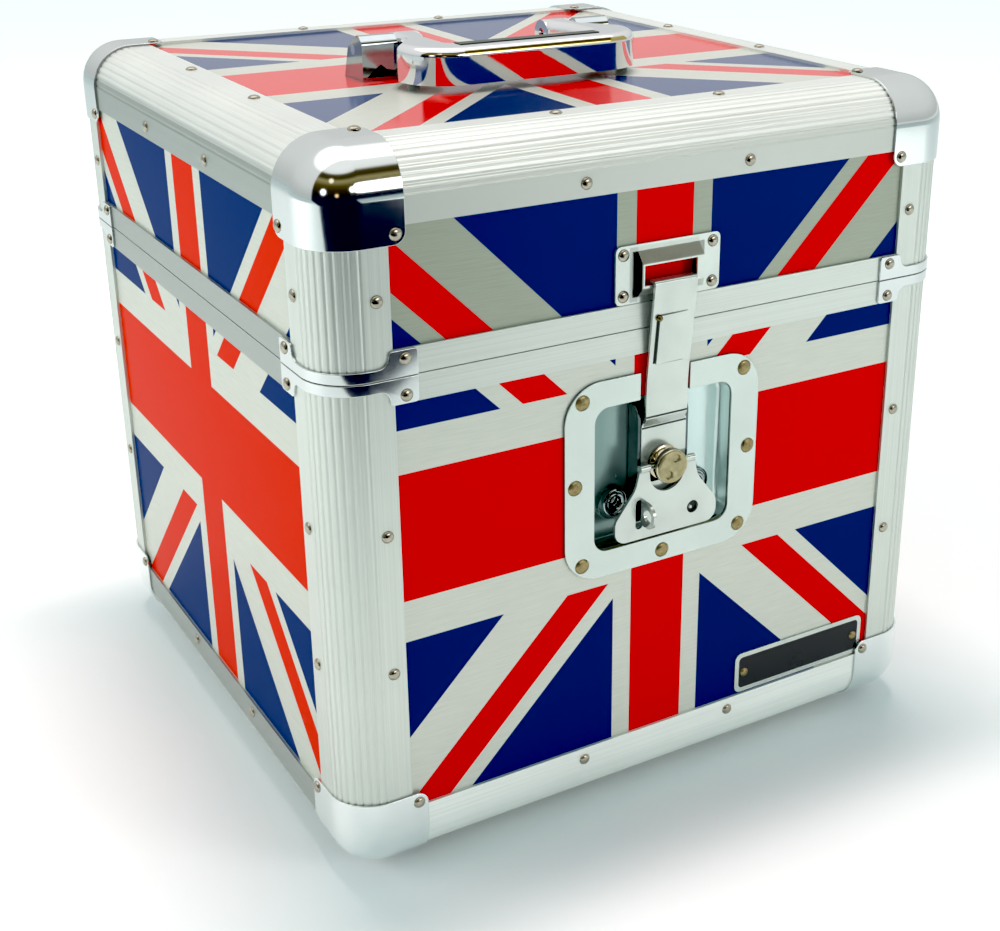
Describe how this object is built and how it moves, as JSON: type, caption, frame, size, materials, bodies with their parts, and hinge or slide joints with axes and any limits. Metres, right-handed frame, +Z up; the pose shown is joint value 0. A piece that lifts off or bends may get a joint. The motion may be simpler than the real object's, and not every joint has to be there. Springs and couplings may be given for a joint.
{
  "type": "record carrying case",
  "caption": "Cube-shaped carrying case for 12-inch records with a hinged lid, metal edges and ball corners, a turning hook latch in a recess and a folding top handle",
  "frame": {"origin": "on the floor, under the middle of the shell", "axes": "+Z up, +X to the right along the front, the front with the latch faces -Y"},
  "size_m": [0.36, 0.376, 0.3859],
  "materials": {
    "printed_board": "plywood faced with a gloss printed laminate",
    "anodised_edge": "satin anodised extrusion",
    "brushed_strip": "brushed extrusion",
    "plated_corner": "bright zinc plated pressing",
    "lining_foam": "grey closed-cell foam",
    "rubber_foot": "moulded rubber",
    "plated_fastener": "bright plated steel",
    "bronze_rivet": "flat rivet heads",
    "hinge_steel": "zinc plated steel",
    "latch_plate": "chromed steel pressing",
    "knob_plate": "chromed turning",
    "handle_chrome": "polished chrome"
  },
  "bodies": {
    "case_body": {"base_panel": "printed_board", "body_panel_front": "printed_board", "body_panel_back": "printed_board", "body_panel_left": "printed_board", "body_panel_right": "printed_board", "body_edge_front_left": "anodised_edge", "body_edge_front_right": "anodised_edge", "body_edge_back_left": "anodised_edge", "body_edge_back_right": "anodised_edge", "base_edge_front": "anodised_edge", "base_edge_back": "anodised_edge", "base_edge_left": "anodised_edge", "base_edge_right": "anodised_edge", "base_corners": "plated_corner", "body_tongue_strips": "brushed_strip", "body_braces": "plated_corner", "base_foam": "lining_foam", "body_wall_foam": "lining_foam", "rubber_feet": "rubber_foot", "foot_screws": "plated_fastener", "body_rivets": "plated_fastener", "latch_dish": "latch_plate", "dish_rivets": "bronze_rivet", "latch_bracket": "latch_plate", "latch_tilt_pin": "plated_fastener", "body_hinge_leaves": "hinge_steel", "hinge_pins": "plated_fastener"},
    "lid": {"lid_top_panel": "printed_board", "lid_panel_front": "printed_board", "lid_panel_back": "printed_board", "lid_panel_left": "printed_board", "lid_panel_right": "printed_board", "lid_edge_front_left": "anodised_edge", "lid_edge_front_right": "anodised_edge", "lid_edge_back_left": "anodised_edge", "lid_edge_back_right": "anodised_edge", "lid_top_edge_front": "anodised_edge", "lid_top_edge_back": "anodised_edge", "lid_top_edge_left": "anodised_edge", "lid_top_edge_right": "anodised_edge", "lid_corners": "plated_corner", "lid_groove_strips": "brushed_strip", "lid_braces": "plated_corner", "lid_top_foam": "lining_foam", "lid_wall_foam": "lining_foam", "lid_rivets": "plated_fastener", "keeper_plate": "latch_plate", "keeper_rivets": "plated_fastener", "lid_hinge_leaves": "hinge_steel", "handle_post_left": "handle_chrome", "handle_post_right": "handle_chrome", "handle_pins": "plated_fastener", "handle_screws": "plated_fastener", "handle_bumpers": "rubber_foot"},
    "handle": {"handle_bail": "handle_chrome"},
    "latch_carrier": {"latch_carrier": "latch_plate"},
    "latch_hook": {"latch_hook": "latch_plate"},
    "latch_knob": {"latch_knob": "knob_plate", "wing_pin": "plated_fastener"},
    "latch_wing": {"latch_wing": "latch_plate"}
  },
  "joints": [
    {"name": "lid_hinge", "type": "hinge", "parent": "case_body", "child": "lid", "pos_m": [0, 0.1817, 0.264], "axis": [-1, 0, 0], "range_deg": [0, 100]},
    {"name": "handle_swing", "type": "hinge", "parent": "lid", "child": "handle", "pos_m": [0, -0.014, 0.378], "axis": [-1, 0, 0], "range_deg": [0, 95]},
    {"name": "latch_tilt", "type": "hinge", "parent": "case_body", "child": "latch_carrier", "pos_m": [0, -0.1705, 0.159], "axis": [1, 0, 0], "range_deg": [0, 12]},
    {"name": "hook_slide", "type": "slide", "parent": "latch_carrier", "child": "latch_hook", "axis": [0, 0, 1], "range_m": [0, 0.006]},
    {"name": "wing_turn", "type": "hinge", "parent": "latch_carrier", "child": "latch_knob", "pos_m": [0, -0.1775, 0.1916], "axis": [0, 1, 0], "range_deg": [0, 180]},
    {"name": "wing_fold", "type": "hinge", "parent": "latch_knob", "child": "latch_wing", "pos_m": [0, -0.1799, 0.1916], "axis": [-1, 0, 0], "range_deg": [0, 90]}
  ],
  "couplings": [
    {"joint": "latch_tilt", "follows": "lid_hinge", "ratio": 0.12},
    {"joint": "hook_slide", "follows": "wing_turn", "m_per_rad": 0.0019099}
  ]
}
